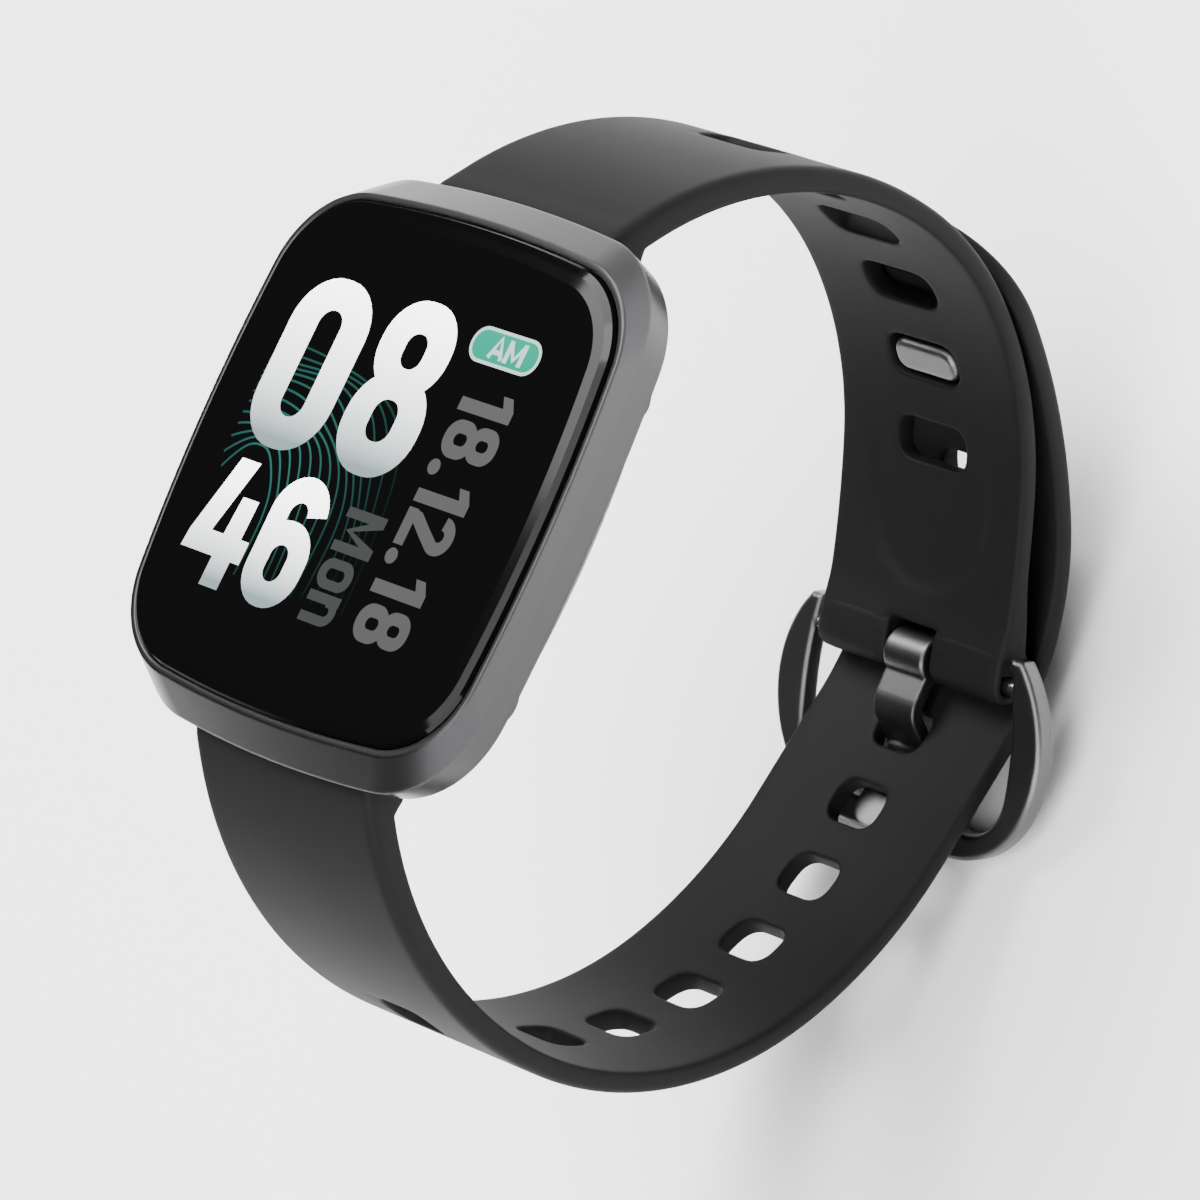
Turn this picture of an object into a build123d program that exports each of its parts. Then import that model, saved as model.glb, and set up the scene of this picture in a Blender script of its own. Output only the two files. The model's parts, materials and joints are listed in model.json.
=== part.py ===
"""Square-faced smartwatch on a buckled silicone strap, closed as it is worn.

Frame: +X is 3 o'clock, +Y is 12 o'clock, +Z points out of the display.
The origin is the middle of the back face that rests on the wrist. Heights in this source are counted
from the level where the sloped bezel meets the side wall, and save() moves every piece up to the frame.
All lengths are millimetres.
"""

from build123d import *
from math import cos, inf, radians, sin
import os

os.makedirs("parts", exist_ok=True)

# ---------------------------------------------------------------- driving dimensions
# Case outline levels: z, half width, half length, corner radius
LIP = (2.4, 19.4, 19.3, 7.5)
RIM = (0.0, 18.7, 21.5, 8.0)
WALL = (-2.8, 18.1, 21.0, 8.0)
FLOOR = (-4.6, 16.2, 19.6, 7.5)
SIDE_BULGE = 1.3  # how far the sides of an outline bow past its corner points
RIM_EDGE = -0.3  # underside of the rim over the strap

CAVITY = (14.8, 15.0, 6.5)
LEDGE_Z = 1.9  # the glass sits on this ledge, on its adhesive
ADHESIVE = 0.2

GLASS = (18.85, 18.75, 7.1)
GLASS_GAP = 0.08
GLASS_EDGE_Z = 2.45
GLASS_TOP = 3.0
GLASS_ROUND = 2.4  # width of the rounded border of the glass

DISPLAY_X = -0.6
DISPLAY_Z = 0.55
DISPLAY_THICK = 1.5
PLATE_Z = -0.05
BOARD_Z = -1.25
BATTERY_Z = -5.2
MOTOR_X, MOTOR_Z = 10.4, -5.0
MOTOR_R, MOTOR_HEIGHT, MOTOR_SKIN = 4.0, 2.6, 0.2

GASKET = 0.1
BACK_TOP = FLOOR[0] - GASKET
BACK_MIDDLE = -6.4
BACK_BOTTOM = -7.4
BACK_WALL = 1.2
WINDOW_R = 7.0
WINDOW_PROUD = 0.6  # the sensor window stands out of the back and carries the watch
REST_DEPTH = WINDOW_PROUD - BACK_BOTTOM
SCREW_SPOT = (11.8, 11.4)
SCREW_R = 0.6
BOSS_HEIGHT = 2.0
CONTACT_SPOT = (3.0, -10.6)
MAGNET_SPOT = (7.4, -10.6)

STRAP_WIDTH = 20.0
STRAP_THICK = 1.7
ROOT_THICK = 2.3
SPLIT_GAP = 0.3  # between two strap segments
STRAP_EDGE = 0.45  # rounding of the long edges
HOLE_PITCH = 6.75
HOLE = (5.0, 3.6)
SLOT = (7.3, 3.3)
HOLE_CORNER = 1.3

BAR_Y, BAR_Z = 18.9, -2.4  # axis of the spring bars in the case, at both ends
KNUCKLE_R = 2.1
POCKET_R = 2.45
POCKET_HALF_WIDTH = 10.15
TUBE_R, TUBE_BORE, TUBE_HALF = 0.75, 0.5, 9.4
TIP_R, TIP_REACH = 0.36, 1.6
SPRING_SEAT, PLUNGER_START = 1.0, 5.0
RELEASE_TRAVEL = 1.2
LEVER_X, LEVER_R, LEVER_LENGTH = 7.6, 0.4, 2.6

PIN_DEPTH = 1.1  # buckle pin below the inner face of the strap
PIN_R = 0.65
STRAP_END_R = 1.55
BUCKLE_TILT = 25.0
BUCKLE_THICK = 1.7
BUCKLE_ROUND = 0.45
STRIP = 1.0  # thickness of the tongue
EYE_R = 1.82
TONGUE_WIDTH = 4.3
TONGUE_ROUND = 0.25

RUNNING = 0.05  # radial clearance of everything that turns or slides


# ---------------------------------------------------------------- strap tracks
def bend(radius, angle):
    """Curved stretch of a track: radius and arc length. A negative radius bends it back."""
    return radius, abs(radius) * radians(angle)


def straight(length):
    return inf, length


# A track is one face of a strip seen along X: its start, its heading in degrees, the side it
# turns to (-1 clockwise, +1 anticlockwise) and its stretches.
UPPER = dict(
    start=(21.6, -3.95),
    heading=-37.0,
    side=-1,
    bends=[bend(28.9, 53), bend(22.2, 30), bend(27.5, 31), bend(85, 11)],
)
LOWER = dict(
    start=(-21.6, -3.95),
    heading=-140.0,
    side=1,
    bends=[
        bend(30, 50),
        bend(27.6, 54),
        bend(34.3, 25),
        straight(9.5),
        bend(22, 46.8),
        bend(45.4, 24.2),
        bend(24.15, 13.3),
    ],
)


def reach(track, count=None):
    """Length of a track, or of its first count stretches."""
    return sum(length for radius, length in track["bends"][:count])


def spot(track, s, lift=0.0):
    """Point at length s along a track and lift outwards from it, with the outward normal."""
    y, z = track["start"]
    angle = radians(track["heading"])
    side = track["side"]
    for radius, length in track["bends"]:
        step = min(length, s)
        turn = side * step / radius
        chord = step if turn == 0 else step * sin(turn / 2) / (turn / 2)
        y += chord * cos(angle + turn / 2)
        z += chord * sin(angle + turn / 2)
        angle += turn
        s -= step
        if s <= 0:
            break
    normal = (side * sin(angle), -side * cos(angle))
    return (y + lift * normal[0], z + lift * normal[1]), normal


def strip_face(track, first, last, thick, thick_last=None):
    """Face of a strip lying on a track between two lengths, in the YZ plane."""
    if thick_last is None:
        thick_last = thick
    joints = [reach(track, count) for count in range(1, len(track["bends"]))]
    stops = [first, *(s for s in joints if first < s < last), last]

    def face_point(s, share):
        lift = share * (thick + (thick_last - thick) * (s - first) / (last - first))
        return Vector(*spot(track, s, lift)[0])

    with BuildLine() as outline:
        for a, b in zip(stops, stops[1:]):
            for share in (0, 1):
                ends = [face_point(s, share) for s in (a, (a + b) / 2, b)]
                if ((ends[0] + ends[2]) / 2 - ends[1]).length < 1e-4:
                    Line(ends[0], ends[2])
                else:
                    ThreePointArc(*ends)
        for s in (first, last):
            Line(face_point(s, 0), face_point(s, 1))
    make_face(outline.edges())


def outward_plane(track, s, lift=0.0):
    """Plane lying on a strap at length s, with its normal pointing away from the wrist."""
    (y, z), (ny, nz) = spot(track, s, lift)
    return Plane(origin=(0, y, z), x_dir=(1, 0, 0), z_dir=(0, ny, nz))


def punch(track, places, size):
    """Cut rounded holes straight through the strap being built."""
    for s in places:
        with BuildSketch(outward_plane(track, s)) as hole:
            RectangleRounded(*size, HOLE_CORNER)
        extrude(hole.sketch, amount=3, both=True, mode=Mode.SUBTRACT)


def soften(strap):
    """Round the long edges of a strap segment."""
    sides = strap.edges().filter_by(lambda e: abs(abs(e.center().X) - STRAP_WIDTH / 2) < 1e-3)
    fillet(sides.filter_by(lambda e: e.length > ROOT_THICK + 0.2), STRAP_EDGE)


def save(builder, name):
    """Write a piece, moved up so that the origin is the middle of the back."""
    piece = builder.part.moved(Pos(0, 0, REST_DEPTH))
    piece.label = name
    export_step(piece, f"parts/{name}.step")


# ---------------------------------------------------------------- shared shapes
def bowed_outline(half_width, half_length, corner, bulge=SIDE_BULGE, mode=Mode.ADD):
    """Square with four bowed sides and rounded corners."""
    x = half_width - bulge
    y = half_length - bulge
    with BuildSketch(mode=Mode.PRIVATE) as outline:
        with BuildLine() as sides:
            ThreePointArc((x, -y), (half_width, 0), (x, y))
            ThreePointArc((x, y), (0, half_length), (-x, y))
            ThreePointArc((-x, y), (-half_width, 0), (-x, -y))
            ThreePointArc((-x, -y), (0, -half_length), (x, -y))
        make_face(sides.edges())
        fillet(outline.vertices(), corner)
    add(outline.sketch, mode=mode)


def bar_axis(end, x=0.0):
    """Plane across a spring bar at x, at 12 o'clock (end = 1) or 6 o'clock (end = -1)."""
    return Plane(origin=(x, end * BAR_Y, BAR_Z), x_dir=(0, 1, 0), z_dir=(1, 0, 0))


def bar_tube(end):
    """Tube of a quick-release spring bar, with its fixed tip on the 9 o'clock side."""
    with BuildPart() as tube:
        with BuildSketch(bar_axis(end)) as skin:
            Circle(TUBE_R)
        extrude(skin.sketch, amount=TUBE_HALF, both=True)
        with BuildSketch(bar_axis(end, -TUBE_HALF)) as tip:
            Circle(TIP_R)
        extrude(tip.sketch, amount=-TIP_REACH)
        with BuildSketch(bar_axis(end, SPRING_SEAT)) as bore:
            Circle(TUBE_BORE)
        extrude(bore.sketch, amount=TUBE_HALF - 0.25 - SPRING_SEAT, mode=Mode.SUBTRACT)
        with BuildSketch(bar_axis(end, SPRING_SEAT)) as mouth:
            Circle(TIP_R + RUNNING)
        extrude(mouth.sketch, amount=TUBE_HALF, mode=Mode.SUBTRACT)
        # slot for the release lever, on the wrist side
        with BuildSketch(Plane.XY.offset(BAR_Z)) as slot:
            with Locations((LEVER_X - RELEASE_TRAVEL / 2, end * BAR_Y)):
                Rectangle(2 * LEVER_R + RELEASE_TRAVEL + 0.2, 2 * LEVER_R + 0.1)
        extrude(slot.sketch, amount=-2, mode=Mode.SUBTRACT)
    return tube


def bar_plunger(end):
    """Sliding tip of a spring bar, with the small lever that a fingernail pushes."""
    with BuildPart() as plunger:
        with BuildSketch(bar_axis(end, PLUNGER_START)) as body:
            Circle(TUBE_BORE - RUNNING)
        extrude(body.sketch, amount=TUBE_HALF - 0.3 - PLUNGER_START)
        with BuildSketch(bar_axis(end, PLUNGER_START)) as tip:
            Circle(TIP_R)
        extrude(tip.sketch, amount=TUBE_HALF + TIP_REACH - PLUNGER_START)
        with BuildSketch(Plane.XY.offset(BAR_Z)) as lever:
            with Locations((LEVER_X, end * BAR_Y)):
                Circle(LEVER_R)
        extrude(lever.sketch, amount=-LEVER_LENGTH)
    return plunger


def bar_spring(end):
    """Coil inside the tube that presses the plunger outwards."""
    wire_r = 0.085
    length = PLUNGER_START - SPRING_SEAT - 4 * wire_r
    with BuildPart() as spring:
        with BuildLine():
            start = (SPRING_SEAT + 2 * wire_r, end * BAR_Y, BAR_Z)
            coil = Helix(length / 9, length, 0.36, center=start, direction=(1, 0, 0))
        with BuildSketch(Plane(origin=coil @ 0, z_dir=coil % 0)) as wire:
            Circle(wire_r)
        sweep(wire.sketch, path=coil)
    return spring


def strap_root(track, end, length):
    """First segment of a strap: the knuckle round its spring bar and the bend to the wrist's side."""
    inner = spot(track, 0)[0]
    outer = spot(track, 0, ROOT_THICK)[0]
    with BuildPart() as root:
        with BuildSketch(Plane.YZ) as profile:
            strip_face(track, 0, length, ROOT_THICK, STRAP_THICK)
            with Locations((end * BAR_Y, BAR_Z)):
                Circle(KNUCKLE_R)
            with BuildLine() as neck:
                Polyline(
                    (end * (BAR_Y + 0.38), BAR_Z + 2.07),
                    (end * (RIM[2] - 0.2), RIM_EDGE - 0.32),
                    outer,
                    inner,
                    (end * (BAR_Y - 0.38), BAR_Z - 2.07),
                    close=True,
                )
            make_face(neck.edges())
        extrude(profile.sketch, amount=STRAP_WIDTH / 2, both=True)
        with BuildSketch(bar_axis(end)) as bore:
            Circle(TUBE_R + RUNNING)
        extrude(bore.sketch, amount=STRAP_WIDTH, both=True, mode=Mode.SUBTRACT)
        with BuildSketch(Plane.XY.offset(BAR_Z)) as slot:
            with Locations((LEVER_X - RELEASE_TRAVEL / 2, end * BAR_Y)):
                Rectangle(2 * LEVER_R + RELEASE_TRAVEL + 0.6, 2 * LEVER_R + 0.5)
        extrude(slot.sketch, amount=-4, mode=Mode.SUBTRACT)
        soften(root)
    return root


# ---------------------------------------------------------------- case
with BuildPart() as case_frame:
    for level in (LIP, RIM, WALL, FLOOR):
        with BuildSketch(Plane.XY.offset(level[0])):
            bowed_outline(*level[1:])
    loft(ruled=True)
    # seat of the glass, then the room for the works
    with BuildSketch(Plane.XY.offset(LEDGE_Z)):
        bowed_outline(GLASS[0] + GLASS_GAP, GLASS[1] + GLASS_GAP, GLASS[2])
    extrude(amount=3, mode=Mode.SUBTRACT)
    with BuildSketch(Plane.XY.offset(FLOOR[0] - 1)):
        bowed_outline(*CAVITY, bulge=0.5)
    extrude(amount=8, mode=Mode.SUBTRACT)
    # bosses for the back screws
    with BuildSketch(Plane.XY.offset(FLOOR[0])):
        with GridLocations(2 * SCREW_SPOT[0], 2 * SCREW_SPOT[1], 2, 2):
            Rectangle(4.2, 4.2)
    extrude(amount=BOSS_HEIGHT)
    with BuildSketch(Plane.XY.offset(FLOOR[0])):
        with GridLocations(2 * SCREW_SPOT[0], 2 * SCREW_SPOT[1], 2, 2):
            Circle(SCREW_R + 0.02)
    extrude(amount=BOSS_HEIGHT - 0.2, mode=Mode.SUBTRACT)
    # strap pockets at 12 and 6 o'clock, open below and outwards, with their spring bar holes
    for end in (1, -1):
        with BuildSketch(Plane.YZ) as pocket:
            with Locations((end * BAR_Y, BAR_Z)):
                Circle(POCKET_R)
            with BuildLine() as walls:
                Polyline(
                    (end * (BAR_Y - POCKET_R), BAR_Z),
                    (end * BAR_Y, BAR_Z + POCKET_R),
                    (end * (RIM[2] + 0.2), RIM_EDGE),
                    (end * (RIM[2] + 3), RIM_EDGE),
                    (end * (RIM[2] + 3), -8),
                    (end * (BAR_Y - POCKET_R), -8),
                    close=True,
                )
            make_face(walls.edges())
        extrude(pocket.sketch, amount=POCKET_HALF_WIDTH, both=True, mode=Mode.SUBTRACT)
        with BuildSketch(bar_axis(end)) as lug_hole:
            Circle(TIP_R + RUNNING)
        extrude(lug_hole.sketch, amount=TUBE_HALF + TIP_REACH + 0.3, both=True, mode=Mode.SUBTRACT)
save(case_frame, "case_frame")

with BuildPart() as glass_adhesive:
    with BuildSketch(Plane.XY.offset(LEDGE_Z)):
        bowed_outline(GLASS[0] - 0.1, GLASS[1] - 0.1, GLASS[2])
        bowed_outline(CAVITY[0] + 0.3, CAVITY[1] + 0.3, CAVITY[2], 0.5, Mode.SUBTRACT)
    extrude(amount=ADHESIVE)
save(glass_adhesive, "glass_adhesive")

with BuildPart() as cover_glass:
    with BuildSketch(Plane.XY.offset(LEDGE_Z + ADHESIVE)):
        bowed_outline(*GLASS)
    extrude(amount=GLASS_EDGE_Z - LEDGE_Z - ADHESIVE)
    # the border falls away as a quarter of an ellipse
    for step in range(5):
        angle = radians(90 * step / 4)
        inset = GLASS_ROUND * (1 - cos(angle))
        with BuildSketch(Plane.XY.offset(GLASS_EDGE_Z + (GLASS_TOP - GLASS_EDGE_Z) * sin(angle))):
            bowed_outline(GLASS[0] - inset, GLASS[1] - inset, GLASS[2] - 0.8 * inset)
    loft(ruled=True)
save(cover_glass, "cover_glass")

with BuildPart() as display_panel:
    with BuildSketch(Plane.XY.offset(DISPLAY_Z)):
        with Locations((DISPLAY_X, 0)):
            RectangleRounded(27.2, 25.2, 4)
    extrude(amount=DISPLAY_THICK)
save(display_panel, "display_panel")

# ribbon from the panel's 3 o'clock edge, round the plate and back to the board
with BuildPart() as display_flex:
    with BuildSketch(Plane.XZ) as ribbon:
        with BuildLine() as bend_line:
            Line((11.8, 0.45), (13.2, 0.45))
            ThreePointArc((13.2, 0.45), (13.55, 0.1), (13.2, -0.25))
            Line((13.2, -0.25), (11.8, -0.25))
        trace(bend_line.edges(), line_width=0.08)
    extrude(ribbon.sketch, amount=5, both=True)
save(display_flex, "display_flex")

with BuildPart() as mid_plate:
    with BuildSketch(Plane.XY.offset(PLATE_Z)):
        RectangleRounded(25.6, 27.6, 4)
        with GridLocations(16, 18, 2, 2):
            Circle(1.2, mode=Mode.SUBTRACT)
    extrude(amount=0.4)
save(mid_plate, "mid_plate")

with BuildPart() as main_board:
    with BuildSketch(Plane.XY.offset(BOARD_Z)):
        RectangleRounded(25.0, 27.0, 4)
        with Locations((12.5, 0), (-12.5, 4)):
            Circle(1.6, mode=Mode.SUBTRACT)
    extrude(amount=0.8)
save(main_board, "main_board")

with BuildPart() as board_chips:
    with BuildSketch(Plane.XY.offset(BOARD_Z)):
        with Locations((-5, 4), (3.5, 5.5)):
            Rectangle(6, 6)
        with Locations((-6, -5), (2, -4), (7, -4)):
            Rectangle(3, 3.4)
    extrude(amount=-0.9)
save(board_chips, "board_chips")

with BuildPart() as battery:
    with BuildSketch(Plane.XY.offset(BATTERY_Z)):
        with Locations((-3.4, 0)):
            RectangleRounded(18.4, 18.2, 1.2)
    extrude(amount=2.7)
    fillet(battery.edges().filter_by(GeomType.LINE).filter_by(Plane.XY), 0.4)
save(battery, "battery")

with BuildPart() as motor_housing:
    with BuildSketch(Plane.XY.offset(MOTOR_Z)):
        with Locations((MOTOR_X, 0)):
            Circle(MOTOR_R)
    extrude(amount=MOTOR_HEIGHT)
    with BuildSketch(Plane.XY.offset(MOTOR_Z + MOTOR_SKIN)):
        with Locations((MOTOR_X, 0)):
            Circle(MOTOR_R - MOTOR_SKIN)
            Circle(0.4, mode=Mode.SUBTRACT)
    extrude(amount=MOTOR_HEIGHT - 2 * MOTOR_SKIN, mode=Mode.SUBTRACT)
save(motor_housing, "motor_housing")

with BuildPart() as motor_rotor:
    with BuildSketch(Plane.XY.offset(MOTOR_Z + 0.6)):
        with Locations((MOTOR_X, 0)):
            Circle(1.2)
            Circle(MOTOR_R - 0.5)
            with Locations((-MOTOR_R, 0)):
                Rectangle(2 * MOTOR_R - 1.2, 2 * MOTOR_R, mode=Mode.SUBTRACT)
            Circle(1.2)
            Circle(0.4 + RUNNING, mode=Mode.SUBTRACT)
    extrude(amount=1.3)
save(motor_rotor, "motor_rotor")

with BuildPart() as antenna_strip:
    with BuildSketch(Plane.XY.offset(-2.4)):
        with Locations((-14.2, 0)):
            Rectangle(0.15, 14)
    extrude(amount=2.0)
save(antenna_strip, "antenna_strip")


# ---------------------------------------------------------------- back
with BuildPart() as back_gasket:
    with BuildSketch(Plane.XY.offset(BACK_TOP)):
        bowed_outline(15.9, 15.7, 7)
        bowed_outline(*CAVITY, 0.5, Mode.SUBTRACT)
    extrude(amount=GASKET)
save(back_gasket, "back_gasket")

with BuildPart() as back_cover:
    for z, width, length, corner in (
        (BACK_TOP, 16.1, 15.9, 7.0),
        (BACK_MIDDLE, 14.5, 14.4, 6.5),
        (BACK_BOTTOM, 12.9, 13.2, 5.5),
    ):
        with BuildSketch(Plane.XY.offset(z)):
            bowed_outline(width, length, corner)
    loft(ruled=True)
    for z, width, length, corner in ((BACK_TOP, 14.6, 14.5, 6.2), (BACK_BOTTOM + BACK_WALL, 13.0, 12.9, 5.4)):
        with BuildSketch(Plane.XY.offset(z)):
            bowed_outline(width, length, corner)
    loft(ruled=True, mode=Mode.SUBTRACT)
    # columns for the screws, with their countersinks
    with BuildSketch(Plane.XY.offset(BACK_TOP)):
        with GridLocations(2 * SCREW_SPOT[0], 2 * SCREW_SPOT[1], 2, 2):
            Circle(1.9)
    extrude(amount=-2.0)
    with BuildSketch(Plane.XY.offset(BACK_TOP)):
        with GridLocations(2 * SCREW_SPOT[0], 2 * SCREW_SPOT[1], 2, 2):
            Circle(SCREW_R + 0.06)
    extrude(amount=-3.5, mode=Mode.SUBTRACT)
    with BuildSketch(Plane.XY.offset(-6.0)):
        with GridLocations(2 * SCREW_SPOT[0], 2 * SCREW_SPOT[1], 2, 2):
            Circle(1.2)
    extrude(amount=-2.0, mode=Mode.SUBTRACT)
    # sensor window and charging contacts
    with BuildSketch(Plane.XY.offset(BACK_BOTTOM)):
        Circle(WINDOW_R)
        with Locations((CONTACT_SPOT[0], CONTACT_SPOT[1]), (-CONTACT_SPOT[0], CONTACT_SPOT[1])):
            Circle(0.9)
    extrude(amount=4, both=True, mode=Mode.SUBTRACT)
save(back_cover, "back_cover")

with BuildPart() as back_screws:
    with BuildSketch(Plane.XY.offset(-6.65)):
        with GridLocations(2 * SCREW_SPOT[0], 2 * SCREW_SPOT[1], 2, 2):
            Circle(1.1)
    extrude(amount=0.65)
    with BuildSketch(Plane.XY.offset(-6.2)):
        with GridLocations(2 * SCREW_SPOT[0], 2 * SCREW_SPOT[1], 2, 2):
            Circle(SCREW_R)
    extrude(amount=3.2)
    with BuildSketch(Plane.XY.offset(-6.65)):
        with GridLocations(2 * SCREW_SPOT[0], 2 * SCREW_SPOT[1], 2, 2):
            Rectangle(1.4, 0.25)
            Rectangle(0.25, 1.4)
    extrude(amount=0.3, mode=Mode.SUBTRACT)
save(back_screws, "back_screws")

with BuildPart() as sensor_window:
    with BuildSketch(Plane.XY.offset(BACK_BOTTOM)):
        Circle(WINDOW_R - RUNNING)
    extrude(amount=0.9)
    with BuildSketch(Plane.XY.offset(BACK_BOTTOM)):
        Circle(8.6)
    extrude(amount=-WINDOW_PROUD)
    fillet(sensor_window.faces().sort_by(Axis.Z)[0].edges(), 0.5)
save(sensor_window, "sensor_window")

with BuildPart() as sensor_board:
    with BuildSketch(Plane.XY.offset(-5.9)):
        Circle(6.6)
    extrude(amount=0.5)
save(sensor_board, "sensor_board")

with BuildPart() as sensor_diodes:
    with BuildSketch(Plane.XY.offset(-6.35)):
        with Locations((-3, 0), (3, 0)):
            Rectangle(1.6, 1.2)
        Rectangle(2.2, 2.2)
    extrude(amount=0.45)
save(sensor_diodes, "sensor_diodes")

with BuildPart() as charging_contacts:
    with BuildSketch(Plane.XY.offset(BACK_BOTTOM - 0.1)):
        with Locations((CONTACT_SPOT[0], CONTACT_SPOT[1]), (-CONTACT_SPOT[0], CONTACT_SPOT[1])):
            Circle(0.9 - RUNNING)
    extrude(amount=1.8)
    with BuildSketch(Plane.XY.offset(BACK_BOTTOM + BACK_WALL)):
        with Locations((CONTACT_SPOT[0], CONTACT_SPOT[1]), (-CONTACT_SPOT[0], CONTACT_SPOT[1])):
            Circle(1.3)
    extrude(amount=0.5)
save(charging_contacts, "charging_contacts")

with BuildPart() as charging_magnets:
    with BuildSketch(Plane.XY.offset(BACK_BOTTOM + BACK_WALL)):
        with Locations((MAGNET_SPOT[0], MAGNET_SPOT[1]), (-MAGNET_SPOT[0], MAGNET_SPOT[1])):
            Circle(1.3)
    extrude(amount=1.2)
save(charging_magnets, "charging_magnets")


# ---------------------------------------------------------------- spring bars
for end, name in ((1, "upper"), (-1, "lower")):
    save(bar_tube(end), f"{name}_bar_tube")
    save(bar_plunger(end), f"{name}_bar_plunger")
    save(bar_spring(end), f"{name}_bar_spring")


# ---------------------------------------------------------------- upper strap
upper_split = reach(UPPER, 1)
stud_slot = reach(UPPER, 2) + 27.5 * radians(13.2)
upper_slots = [stud_slot + HOLE_PITCH * count for count in range(-4, 2)]
pin_s = reach(UPPER, 3) + 85 * radians(9.8)
swell_s = pin_s - 9.0
(PIN_Y, PIN_Z), pin_normal = spot(UPPER, pin_s, PIN_DEPTH)

upper_strap_root = strap_root(UPPER, 1, upper_split - SPLIT_GAP / 2)
with upper_strap_root:
    punch(UPPER, [s for s in upper_slots if s < upper_split], SLOT)
save(upper_strap_root, "upper_strap_root")

with BuildPart() as upper_strap_end:
    with BuildSketch(Plane.YZ) as profile:
        strip_face(UPPER, upper_split + SPLIT_GAP / 2, swell_s, STRAP_THICK)
        strip_face(UPPER, swell_s, pin_s, STRAP_THICK, 2.2)
        with Locations((PIN_Y, PIN_Z)):
            Circle(STRAP_END_R)
    extrude(profile.sketch, amount=STRAP_WIDTH / 2, both=True)
    punch(UPPER, [s for s in upper_slots if s > upper_split], SLOT)
    # bore of the buckle pin, and the notch that the eye of the tongue turns in
    with BuildSketch(Plane.YZ) as bore:
        with Locations((PIN_Y, PIN_Z)):
            Circle(PIN_R + RUNNING)
    extrude(bore.sketch, amount=STRAP_WIDTH, both=True, mode=Mode.SUBTRACT)
    with BuildSketch(Plane.XY.offset(PIN_Z)) as notch:
        with Locations((0, PIN_Y - 1)):
            RectangleRounded(TONGUE_WIDTH + 0.6, 6.6, 0.8)
    extrude(notch.sketch, amount=4, both=True, mode=Mode.SUBTRACT)
save(upper_strap_end, "upper_strap_end")


# ---------------------------------------------------------------- lower strap
lower_split = reach(LOWER, 1)
tail_split = reach(LOWER, 4) + 22 * radians(42.3)
tongue_hole = reach(LOWER, 4) - 0.7
lower_holes = [tongue_hole + HOLE_PITCH * count for count in range(-8, 4)]
stud_s = reach(LOWER, 5) + 45.4 * radians(15.6)
STUD = (6.6, 2.7, 1.2)
NECK = (5.0, 1.5, 0.7)
FLANGE = (7.4, 3.4, 1.5)
STUD_ROUND = 0.5

lower_strap_root = strap_root(LOWER, -1, lower_split - SPLIT_GAP / 2)
with lower_strap_root:
    punch(LOWER, [s for s in lower_holes if s < lower_split], HOLE)
save(lower_strap_root, "lower_strap_root")

with BuildPart() as lower_strap_end:
    with BuildSketch(Plane.YZ) as profile:
        strip_face(LOWER, lower_split + SPLIT_GAP / 2, tail_split - SPLIT_GAP / 2, STRAP_THICK)
    extrude(profile.sketch, amount=STRAP_WIDTH / 2, both=True)
    punch(LOWER, [s for s in lower_holes if lower_split < s < tail_split], HOLE)
save(lower_strap_end, "lower_strap_end")

with BuildPart() as lower_strap_tail:
    with BuildSketch(Plane.YZ) as profile:
        strip_face(LOWER, tail_split + SPLIT_GAP / 2, reach(LOWER), STRAP_THICK)
    extrude(profile.sketch, amount=STRAP_WIDTH / 2, both=True)
    tip_face = lower_strap_tail.faces().sort_by(Axis.Z)[-1]
    fillet(tip_face.edges().filter_by(lambda e: abs(e.center().X) > 9.9), 8.5)
    punch(LOWER, [s for s in lower_holes if s > tail_split], HOLE)
    with BuildSketch(outward_plane(LOWER, stud_s)) as neck_hole:
        RectangleRounded(NECK[0] + 0.06, NECK[1] + 0.06, NECK[2])
    extrude(neck_hole.sketch, amount=3, both=True, mode=Mode.SUBTRACT)
    with BuildSketch(outward_plane(LOWER, stud_s, STRAP_THICK - 0.55)) as flange_seat:
        RectangleRounded(FLANGE[0] + 0.1, FLANGE[1] + 0.1, FLANGE[2])
    extrude(flange_seat.sketch, amount=2, mode=Mode.SUBTRACT)
save(lower_strap_tail, "lower_strap_tail")

with BuildPart() as keeper_stud:
    with BuildSketch(outward_plane(LOWER, stud_s, -0.05)) as head:
        RectangleRounded(*STUD)
    extrude(head.sketch, amount=-2.15)
    fillet(keeper_stud.faces().sort_by(Axis.Y)[0].edges(), STUD_ROUND)
    with BuildSketch(outward_plane(LOWER, stud_s, -0.05)) as neck:
        RectangleRounded(*NECK)
    extrude(neck.sketch, amount=STRAP_THICK - 0.4)
    with BuildSketch(outward_plane(LOWER, stud_s, STRAP_THICK - 0.5)) as flange:
        RectangleRounded(*FLANGE)
    extrude(flange.sketch, amount=0.45)
save(keeper_stud, "keeper_stud")


# ---------------------------------------------------------------- buckle
tilt = radians(BUCKLE_TILT)
buckle_plane = Plane(origin=(0, PIN_Y, PIN_Z), x_dir=(1, 0, 0), z_dir=(0, -sin(tilt), cos(tilt)))

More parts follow.
